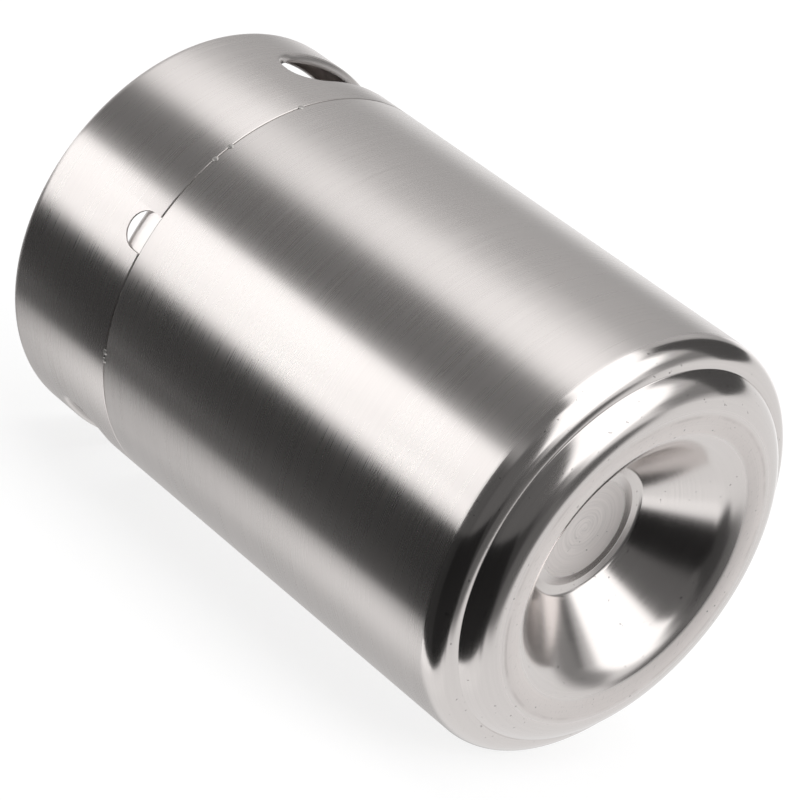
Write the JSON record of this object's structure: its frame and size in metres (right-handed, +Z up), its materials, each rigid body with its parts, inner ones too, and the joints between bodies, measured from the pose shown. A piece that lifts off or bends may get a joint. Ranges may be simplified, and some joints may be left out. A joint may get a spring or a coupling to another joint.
{
  "type": "mini keg",
  "caption": "Upright stainless steel mini keg with a pressed, hollowed foot, a collar with hand holes and drain notches, and a screw cap on a threaded neck.",
  "frame": {"origin": "centre of the ring that the keg stands on", "axes": "+Z up along the keg's axis; the hand holes face +X and -X, the drain notches -Y and +Y"},
  "size_m": [0.18, 0.18, 0.273],
  "materials": {
    "brushed_steel": "fine brushed",
    "polished_steel": "turned and polished",
    "satin_steel": "satin",
    "machined_steel": "machined",
    "weld_steel": "as welded",
    "white_plastic": "moulded",
    "silicone": "matte"
  },
  "bodies": {
    "keg": {"body_shell": "brushed_steel", "base_pan": "polished_steel", "base_weld": "weld_steel", "top_head": "satin_steel", "head_weld": "weld_steel", "collar": "brushed_steel", "collar_tacks": "weld_steel", "neck": "machined_steel", "neck_weld": "weld_steel"},
    "gasket": {"cap_gasket": "silicone"},
    "cap": {"cap_shell": "machined_steel", "cap_insert": "white_plastic"}
  },
  "joints": [
    {"name": "cap_lift", "type": "slide", "parent": "keg", "child": "gasket", "axis": [0, 0, 1], "range_m": [0, 0.12]},
    {"name": "cap_turn", "type": "hinge", "parent": "gasket", "child": "cap", "pos_m": [0, 0, 0.25], "axis": [0, 0, 1], "range_deg": [0, 1080]}
  ]
}
